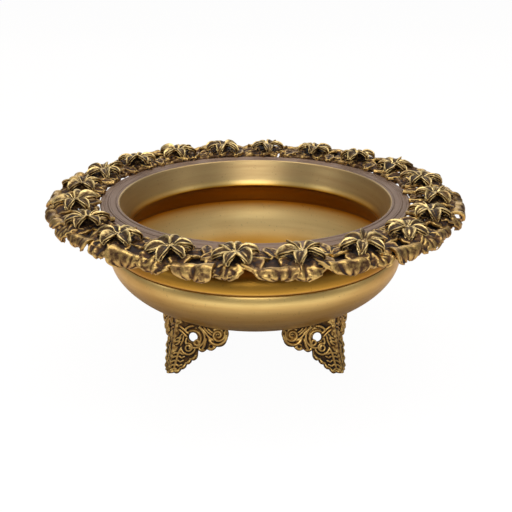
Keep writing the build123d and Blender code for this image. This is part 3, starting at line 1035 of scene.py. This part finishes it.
def lay_section(index):
    dice = random.Random(101 + index)
    mine = flower_angles[index * flowers_each : (index + 1) * flowers_each]
    leaves = [leaf for angle in mine for leaf in leaves_of_one_flower(dice, angle)]
    sheets = []
    for (points, faces, rubbed), angle, base in leaves:
        sheets.append((place_round(points, angle, base), faces, rubbed))
    body = thickened(join_sheets(sheets), 3.0 * MM, 0)
    start = mine[0] - SECTION_LEAD
    end = start + FLOWER_STEP * flowers_each
    stem = vine(dice, start, end, RING - 11.5, 0.9, 3.2)
    tendril = vine(dice, start, end, RING - 18.2, 1.3, 2.6)
    points, faces, rubbed = melted(join_sheets([body, stem, tendril]), 0.65 * MM, 1)
    piece = make_object(f"leaves_{index + 1}", keep_inside(points), faces)
    paint(piece, "wear", rubbed)
    measure_relief(piece, fine_passes=4, wide_passes=40, fine_mm=0.10, wide_mm=0.9)
    hang(piece, [garland_nodes[index]], garland_brass)


for section_index in range(len(garland_nodes)):
    lay_section(section_index)

# %% [markdown]
# ## Flowers
# Each flower is five or six petals round a small boss. A petal is a trough: its two rims stand up
# and catch the cloth, a thin rib runs down its middle, and its tip curls under. No two are alike,
# because every wax flower was bent by hand, so each petal gets its own length, twist and arch.


# %% One petal
def petal(dice, length, wide, crest):
    tip = dice.uniform(1.4, 4.4)
    side = [
        (0.6, 6.6),
        (0.22 * length, 7.4),
        (0.50 * length, crest),
        (0.74 * length, crest - 1.2),
        (0.90 * length, crest - 3.2),
        (1.0 * length, tip),
    ]
    width = through(
        [0, 0.15, 0.36, 0.54, 0.70, 0.85, 1.0],
        [0.24 * wide, 0.36 * wide, 0.82 * wide, wide, 0.78 * wide, 0.38 * wide, 0.02],
    )
    notch = dice.uniform(-0.24, 0.24)
    rubbed_and_lit_face = dice.choice((0.0, 0.45, 0.95))
    lit_side = dice.choice((-1, 1))

    def lift(along, across):
        rims = 3.3 * np.abs(across - notch) ** 1.3 * ease(along, 0.0, 0.30)
        rims *= 1 - 0.75 * ease(along, 0.84, 1.0)
        edge = -2.4 * np.clip((np.abs(across) - 0.80) / 0.20, 0, 1) ** 2
        rib = 0.7 * np.exp(-(((across - notch) / 0.12) ** 2)) * ease(along, 0.10, 0.4)
        return rims + edge + rib

    def wear(along, across):
        rims = 1.25 * ease(np.abs(across), 0.34, 0.70)
        rib = 0.45 * np.exp(-(((across - notch) / 0.12) ** 2))
        tip_shine = 0.9 * ease(along, 0.70, 0.92)
        heart = 0.5 * (1 - ease(along, 0.10, 0.24))
        # partly rubbed wear, partly a painted highlight: one side of the petal's face, picked at random as
        # its lit side, is made brighter
        face = rubbed_and_lit_face * (1 - 0.8 * ease(across * lit_side, -0.1, 0.5))
        return -0.72 + np.minimum(face + rims + rib + tip_shine + heart, 1.30)

    return bent_sheet(side, width, lift, wear, 22, 17, dice.uniform(-0.18, 0.18), dice.uniform(-1.6, 1.6))


print("a petal has", len(petal(random.Random(1), 20, 6, 9)[0]), "points")


# %% The boss, the peg and its riveted head, as (radius, height) in millimetres above the leaf
PEG_TURNS = 20
PEG = [
    (0.02, 8.2),
    (1.3, 8.0),
    (2.2, 7.2),
    (2.6, 6.0),
    (4.2, 5.0),
    (4.6, 3.4),
    (4.6, 0.3),
    (2.4, 0.0),
    (2.4, -3.2),
    (3.5, -3.3),
    (3.4, -4.1),
    (2.2, -4.4),
    (0.02, -4.4),
]


def grain_lift(along, across):
    return -0.5 * across**2


def grain_wear(along, across):
    return 0.6 - across**2


def stamens(dice):
    """Five grains of wax pressed round the boss."""
    grains = []
    for number in range(5):
        angle = 2 * math.pi * number / 5 + dice.uniform(-0.3, 0.3)
        length = dice.uniform(3.6, 5.2)
        side = [(1.0, 7.4), (0.5 * length, 8.6), (length, 8.0)]
        width = through([0, 0.5, 1.0], [0.7, 1.0, 0.4])
        grain = bent_sheet(side, width, grain_lift, grain_wear, 6, 5)
        grains.append((turn_about_up(grain[0], angle), grain[1], grain[2]))
    return grains


print("a flower's peg is", PEG[0][1] - PEG[-1][1], "mm long")


# %% Make every flower and stand it on its leaf
def tilted(points, angle, out, side):
    """Leans a flower outwards and sideways by small angles."""
    away = points[:, 0] * math.cos(angle) + points[:, 1] * math.sin(angle)
    beside = points[:, 1] * math.cos(angle) - points[:, 0] * math.sin(angle)
    leaning = points.copy()
    leaning[:, 2] -= away * math.sin(out) + beside * math.sin(side)
    return leaning


FIVE_PETALLED = (4, 9, 15)


def make_flower(index, node):
    dice = random.Random(501 + 7 * index)
    angle = flower_angles[index]
    centre = np.array([RING * MM * math.cos(angle), RING * MM * math.sin(angle), LEAF_Z * MM])
    count = 5 if index in FIVE_PETALLED else 6
    start = angle + dice.uniform(0, 2 * math.pi / count)
    sheets = stamens(dice)
    for number in range(count):
        leaf = petal(dice, dice.uniform(18.4, 22.0), dice.uniform(5.4, 7.0), dice.uniform(8.0, 10.2))
        turn = start + 2 * math.pi * number / count + dice.uniform(-0.10, 0.10)
        sheets.append((turn_about_up(leaf[0], turn), leaf[1], leaf[2]))
    points, faces, rubbed = join_sheets(sheets)
    points, faces, rubbed = thickened((points * MM, faces, rubbed), 2.9 * MM, 1)
    points = tilted(points, angle, dice.uniform(-0.02, 0.10), dice.uniform(-0.07, 0.07))
    peg_points = turned_points(PEG, PEG_TURNS)
    peg_faces = grid_faces(PEG_TURNS, len(PEG), True, False)
    peg = (peg_points * MM, peg_faces, np.where(peg_points[:, 2] > 6.0, 0.8, -0.8))
    points, faces, rubbed = melted(join_sheets([(points, faces, rubbed), peg]), 0.5 * MM, 2)
    piece = make_object(f"bloom_{index + 1:02d}", points + centre, faces)
    paint(piece, "wear", rubbed)
    measure_relief(piece, fine_passes=5, wide_passes=26, fine_mm=0.10, wide_mm=0.6)
    hang(piece, [node], flower_brass)


for flower_index, flower_node in enumerate(flower_nodes):
    make_flower(flower_index, flower_node)

# %% [markdown]
# ## Feet
# A foot is two fretted wings that meet at a spine and lean in under the dish. Its wax was built up:
# a flat plate cut to a scalloped outline with one hole pierced through it, then cords of wax bent
# into scrolls, veins and bars on its face. The same is done here, and plate and cords are melted
# into one skin on a fine grid so that they flow into each other as a casting does.

# %% The wing's own frame
FOOT_INSET = 30.0
FOOT_TOE = BELLY_RADIUS / MM - FOOT_INSET
FOOT_LEAN = math.sin(math.radians(12))
FOOT_SPREAD = math.radians(61)
PLATE_HALF = 1.7
TOE_KICK = 3.2
TOE_HEIGHT = 24.0


def wing_place(points, side):
    """From (along the wing, up, out of its face) to millimetres, with the toe out along X."""
    along, up, proud = np.asarray(points, dtype=float).T
    wing = np.array([-math.cos(FOOT_SPREAD), side * math.sin(FOOT_SPREAD), 0.0])
    spine = np.array([-FOOT_LEAN, 0.0, 1.0])
    face = side * np.cross(wing, spine)
    face /= np.linalg.norm(face)
    placed = along[:, None] * wing + up[:, None] * spine + proud[:, None] * face
    placed[:, 0] += FOOT_TOE
    return placed


def under_dish(along):
    """How high the wing may stand before it meets the dish."""
    wall = dish_wall(0, 60)[::-1] / MM
    up = 45.0
    for _ in range(40):
        place = wing_place([(along, up, 0.0)], 1)[0]
        up += 0.5 * (np.interp(math.hypot(place[0], place[1]), wall[:, 0], wall[:, 1]) - place[2])
    return up


print("at its spine a wing is", round(float(under_dish(0.0)), 1), "mm tall")


# %% The outline that the wax plate was cut to
def lobes(corners, steps=8):
    """An edge of small arcs: each corner is (along, up, how far the lobe before it swells)."""
    edge = [np.array(corners[0][:2], dtype=float)]
    t = np.linspace(0, 1, steps + 1)[1:, None]
    for along, up, swell in corners[1:]:
        start, end = edge[-1], np.array([along, up])
        way = (end - start) / np.linalg.norm(end - start)
        edge.extend((1 - t) * start + t * end + 4 * t * (1 - t) * swell * np.array([way[1], -way[0]]))
    return np.array(edge)


def ring(centre, radii, start, turn, steps=40):
    """An arc or a scroll; radii go from the first to the last along it, angles in degrees."""
    angles = np.radians(start + turn * np.linspace(0, 1, steps))
    reach = np.linspace(radii[0], radii[1], steps)
    return np.stack([centre[0] + reach * np.cos(angles), centre[1] + reach * np.sin(angles)], axis=1)


scalloped = lobes(
    [
        (-1.0, 0.3, 0),
        (5.6, 1.4, 0.5),
        (11.4, 5.0, 2.2),
        (15.4, 10.4, 2.0),
        (19.4, 14.8, 1.9),
        (24.5, 19.2, 2.0),
        (24.0, 26.0, 0),
        (33.0, 27.4, 2.8),
        (42.0, 31.0, 2.6),
        (50.6, 40.0, 3.4),
        (50.6, 47.0, 1.0),
    ]
)
along_top = np.linspace(50.0, -1.0, 26)
top_edge = np.array([(along, under_dish(along) + 0.5) for along in along_top])
plate_edge = np.vstack([scalloped[scalloped[:, 1] < top_edge[0, 1]], top_edge])
plate_hole = ring((17.6, 37.2), (4.6, 4.6), 0, -350, 30)
print("plate edge points", len(plate_edge))


# %% The plate as a closed slab, and cords of wax on it
def slab(edge, hole, half):
    """A flat slab with one hole, as (along, up, proud) points and faces."""
    count = len(edge) + len(hole)
    flat = np.vstack([edge, hole])
    front = tessellate_polygon([[(x, y, 0) for x, y in loop] for loop in (edge, hole)])
    points = np.vstack([np.hstack([flat, np.full((count, 1), level)]) for level in (half, -half)])
    faces = [tuple(face) for face in front]
    faces += [tuple(corner + count for corner in face[::-1]) for face in front]
    for first, size in ((0, len(edge)), (len(edge), len(hole))):
        for step in range(size):
            near, far = first + step, first + (step + 1) % size
            faces.append((near, far, far + count, near + count))
    return points, faces


def cord(path, thick, proud):
    """A round cord that thins out at both ends; proud is how far it stands off the plate's face."""
    steps, sides = len(path), 8
    taper = np.clip(np.minimum(np.arange(steps), np.arange(steps)[::-1]) / 5.0, 0.25, 1) ** 0.5 * thick
    ahead = np.gradient(path, axis=0)
    ahead /= np.linalg.norm(ahead, axis=1)[:, None]
    turn = np.linspace(0, 2 * math.pi, sides, endpoint=False)
    points = np.empty((steps, sides, 3))
    swing = taper[:, None] * np.cos(turn)
    points[..., 0] = path[:, :1] + ahead[:, 1:] * swing
    points[..., 1] = path[:, 1:] - ahead[:, :1] * swing
    points[..., 2] = PLATE_HALF + proud + 1.15 * taper[:, None] * np.sin(turn)
    return points.reshape(-1, 3), tube_faces(steps, sides)


plate_points, plate_faces = slab(plate_edge, plate_hole, PLATE_HALF)
print("the plate has", len(plate_faces), "faces")


# %% Where each cord lies on the wing
# Scrolls: centre, first and last radius, start angle, turn, steps, thickness, how proud.
SCROLLS = (
    ((18.3, 36.6), (7.6, 7.6), 140, -190, 40, 1.15, 0.4),
    ((22.6, 33.4), (3.6, 1.0), 0, -400, 40, 0.95, 0.5),
    ((19.0, 37.0), (10.9, 9.8), 75, -160, 40, 1.1, 0.0),
    ((17.4, 40.6), (8.6, 7.6), 165, -75, 40, 1.3, 0.0),
    ((14.6, 26.8), (4.6, 1.1), 130, -560, 60, 0.95, 0.3),
    ((14.8, 27.0), (7.2, 6.6), 190, 170, 40, 1.0, 0.0),
    ((42.4, 42.6), (6.6, 1.4), 40, -520, 60, 1.05, 0.5),
    ((42.0, 42.6), (8.6, 9.6), 10, -170, 40, 1.5, 0.2),
    ((37.0, 31.0), (2.3, 2.3), 200, 330, 40, 0.9, 0.0),
)
# Veins and bars: the points that they pass, thickness, how proud.
VEINS = (
    (((3.0, 47.0), (8.0, 44.2), (13.6, 40.0)), 1.15, 0.3),
    (((2.6, 43.8), (7.4, 41.0), (12.6, 36.8)), 1.15, 0.3),
    (((11.6, 36.0), (11.2, 32.0), (12.2, 29.6)), 1.0, 0.0),
    (((8.6, 38.6), (8.4, 33.0), (6.4, 27.6)), 0.95, 0.0),
    (((6.8, 39.4), (4.6, 35.6), (1.6, 34.0)), 0.95, 0.0),
    (((6.4, 36.0), (4.2, 32.2), (1.4, 30.8)), 0.9, 0.0),
    (((5.8, 32.2), (3.8, 29.0), (1.2, 27.8)), 0.9, 0.0),
    (((7.6, 26.4), (5.4, 19.0), (4.4, 5.0)), 1.15, 0.2),
    (((23.0, 48.6), (28.6, 44.0), (33.6, 39.4), (39.0, 36.6)), 1.1, 0.0),
    (((27.0, 48.4), (31.6, 44.4), (36.0, 41.6)), 0.9, 0.0),
    (((30.6, 48.0), (34.0, 45.4), (36.6, 44.2)), 0.8, 0.0),
    (((31.2, 38.0), (30.4, 31.0), (28.4, 26.4)), 1.4, 0.3),
    (((25.0, 28.0), (26.6, 26.2), (31.0, 26.6)), 1.3, 0.0),
    (((34.0, 28.6), (37.4, 27.8), (41.4, 31.0)), 1.2, 0.0),
)
# The inside of each lobe of the lower edge, where a fat cord lies.
BEAD_CORNERS = (
    (1.0, 2.6, 0),
    (5.4, 3.4, 0.5),
    (10.4, 6.6, 1.6),
    (14.4, 11.8, 1.4),
    (18.2, 16.2, 1.3),
    (22.8, 20.4, 1.3),
)


def vein(points, thick, proud):
    path, _ = side_path(points, 40)
    return cord(path, thick, proud)


def wing_cords():
    cords = [cord(ring(*arc), thick, proud) for *arc, thick, proud in SCROLLS]
    cords += [vein(*run) for run in VEINS]
    for low in (3.5, 7.5, 11.5, 15.5, 19.0):
        inner = 4.6 + 0.12 * low
        outward = [(inner, low + 2.0), (inner + 3.2, low + 0.6), (inner + 6.0, low + 2.6)]
        cords.append(vein(outward, 0.85, 0.0))
        cords.append(vein([(inner, low + 2.0), (2.2, low + 0.9), (0.4, low - 0.6)], 0.85, 0.0))
    beads = lobes(BEAD_CORNERS, 10)
    return cords + [cord(beads[start : start + 11], 1.7, 0.0) for start in range(0, 50, 10)]


print(len(wing_cords()), "cords on each wing")


# %% Melt one foot and stand its four copies under the dish
def foot_spine():
    """The knotted round edge where the two wings meet."""
    rings, sides = 50, 12
    tall = np.linspace(0.8, under_dish(0.0) + 0.3, rings)
    knots = 2.1 + 0.35 * np.sin(tall * 1.25)
    turn = np.linspace(0, 2 * math.pi, sides, endpoint=False)
    middle = wing_place(np.stack([0 * tall, tall, 0 * tall], axis=1), 1)
    round_it = np.stack([np.cos(turn), np.sin(turn), 0 * turn], axis=1)
    points = middle[:, None, :] + knots[:, None, None] * round_it
    return points.reshape(-1, 3), tube_faces(rings, sides), np.full(rings * sides, 0.1)


def foot_wax():
    """Both wings and the spine, as overlapping closed pieces in millimetres, toe out along X."""
    pieces = []
    for side in (1, -1):
        for points, faces in [(plate_points, plate_faces)] + wing_cords():
            rubbed = np.where(points[:, 2] > PLATE_HALF + 0.35, 0.6, -1.0)
            pieces.append((wing_place(points, side), faces, rubbed))
    points, faces, rubbed = join_sheets(pieces + [foot_spine()])
    points[:, 2] = np.maximum(points[:, 2], 0.0)
    return points * MM, faces, rubbed


foot_brass = make_cast_brass(
    "rubbed foot brass",
    gold=(0.76, 0.50, 0.16, 1),
    brown=(0.30, 0.155, 0.045, 1),
    black=(0.026, 0.017, 0.011, 1),
    rubbing=0.56,
    softness=0.30,
    grain_scale=420.0,
    pits=0.35,
)
foot_points, foot_faces, foot_rubbed = melted(foot_wax(), 0.45 * MM, 1)
foot_points[:, 2] -= foot_points[:, 2].min()
foot_points[:, 0] += TOE_KICK * MM * np.clip(1 - foot_points[:, 2] / (TOE_HEIGHT * MM), 0, 1) ** 2
print("one foot", len(foot_faces), "faces")
for foot_index, foot_node in enumerate(foot_nodes):
    turned = turn_about_up(foot_points, flower_angle(foot_node))
    foot = make_object(f"carved_foot_{foot_index + 1}", turned, foot_faces)
    paint(foot, "wear", foot_rubbed)
    measure_relief(foot, fine_passes=5, wide_passes=24, fine_mm=0.10, wide_mm=0.5)
    hang(foot, [foot_node], foot_brass)

# %% [markdown]
# ## The room
# A plain pale floor, soft light from large panels, and a camera a little above the lip. Brass is
# mostly a mirror, so each panel is placed for what it puts into the metal. The front one fills the
# inside of the neck, and the floor fills the belly, so the floor's colour is painted warmer and darker
# close to the bowl, a painted shade that its reflection carries low onto the dish. The camera itself
# sees the floor nearly white.


# %% Floor
NEAR_FLOOR_SHADE = (0.54, 0.44, 0.38, 1)
FAR_FLOOR = (0.94, 0.94, 0.94, 1)


def mixed_shaders(tree, factor, under, over, output):
    mix = tree.nodes.new("ShaderNodeMixShader")
    for index, source in enumerate((factor, under.outputs[0], over.outputs[0])):
        tree.links.new(source, mix.inputs[index])
    tree.links.new(mix.outputs[0], tree.nodes[output].inputs["Surface"])


def make_floor():
    """A rough sheet that the camera sees nearly white, with only a breath of shadow left on it, and whose
    colour is painted darker and warmer near the bowl as painted shade for the brass to mirror.
    """
    corners = [(side * 6.0, ahead * 6.0, GROUND) for side, ahead in ((-1, -1), (1, -1), (1, 1), (-1, 1))]
    floor = make_object("floor", corners, [(0, 1, 2, 3)])
    material = bpy.data.materials.new("pale floor")
    material.use_nodes = True
    tree = material.node_tree
    shader = tree.nodes["Principled BSDF"]
    place = add_node(tree, "ShaderNodeNewGeometry").outputs["Position"]
    ahead = add_node(tree, "ShaderNodeSeparateXYZ", Vector=place).outputs["Y"]
    # painted shade: the floor's colour is darker and warmer close to the bowl, where the belly mirrors it
    in_front = remap(tree, ahead, -0.12, -0.45)
    feed(tree, shader, "Base Color", blend_colour(tree, in_front, NEAR_FLOOR_SHADE, FAR_FLOOR))
    shader.inputs["Roughness"].default_value = 0.42
    shader.inputs["Specular IOR Level"].default_value = 0.25
    glow = add_node(tree, "ShaderNodeEmission", Color=(1, 1, 1, 1), Strength=1.04)
    path = add_node(tree, "ShaderNodeLightPath")
    seen = maths(tree, "MULTIPLY", path.outputs["Is Camera Ray"], 0.93)
    mixed_shaders(tree, seen, shader, glow, "Material Output")
    floor.data.materials.append(material)
    print("floor at", GROUND)


make_floor()


# %% Lights
def soft_panel(name, place, aim, width, height, power):
    lamp = bpy.data.lights.new(name, "AREA")
    lamp.shape = "RECTANGLE"
    lamp.size = width
    lamp.size_y = height
    lamp.energy = power
    panel = bpy.data.objects.new(name, lamp)
    bpy.context.scene.collection.objects.link(panel)
    panel.location = place
    direction = np.array(aim, dtype=float) - np.array(place, dtype=float)
    yaw = math.atan2(direction[1], direction[0]) - math.pi / 2
    tilt = math.atan2(direction[2], math.hypot(direction[0], direction[1])) + math.pi / 2
    panel.rotation_euler = (tilt, 0, yaw)
    print(name, power, "W")
    return panel


middle = (0, 0, 0.1)
soft_panel("top panel", (0.0, 0.25, 1.5), middle, 1.5, 1.2, 12.0)
soft_panel("front panel", (0.0, -1.75, 1.22), middle, 1.3, 0.75, 11.0)
soft_panel("back panel", (0.0, 2.2, 1.0), middle, 3.0, 0.9, 9.0)
soft_panel("left panel", (-1.5, -0.5, 0.9), middle, 0.5, 0.9, 1.6)
soft_panel("right panel", (1.5, -0.5, 0.9), middle, 0.5, 0.9, 1.0)
floor_wash = soft_panel("floor wash", (0.0, 0.0, 3.2), middle, 4.0, 4.0, 80)
floor_wash.visible_glossy = False


# %% The air around
def make_world():
    """White behind the bowl, but a dim room for the brass to mirror."""
    world = bpy.data.worlds.new("studio")
    bpy.context.scene.world = world
    world.use_nodes = True
    tree = world.node_tree
    room = tree.nodes["Background"]
    room.inputs["Color"].default_value = (0.92, 0.95, 1.0, 1)
    room.inputs["Strength"].default_value = 0.30
    seen = add_node(tree, "ShaderNodeBackground", Color=(1, 1, 1, 1), Strength=1.0)
    path = add_node(tree, "ShaderNodeLightPath")
    mixed_shaders(tree, path.outputs["Is Camera Ray"], room, seen, "World Output")
    print("world", world.name)


make_world()
bpy.context.scene.view_settings.view_transform = "Standard"

# %% Camera
CAMERA_DISTANCE = 0.8488
CAMERA_RISE = math.radians(17.44)
CAMERA_DIP = math.radians(21.466)
LENS_MM = 60.40
SENSOR_MM = 36.0
FRAME_SHIFT = 0.0016
camera_data = bpy.data.cameras.new("camera")
camera_data.lens = LENS_MM
camera_data.sensor_width = SENSOR_MM
camera_data.shift_x = FRAME_SHIFT
camera = bpy.data.objects.new("camera", camera_data)
bpy.context.scene.collection.objects.link(camera)
camera.location = (
    0,
    -CAMERA_DISTANCE * math.cos(CAMERA_RISE),
    LIP_Z + CAMERA_DISTANCE * math.sin(CAMERA_RISE),
)
camera.rotation_euler = (math.pi / 2 - CAMERA_DIP, 0, 0)
bpy.context.scene.camera = camera
print("camera at", tuple(round(value, 4) for value in camera.location))
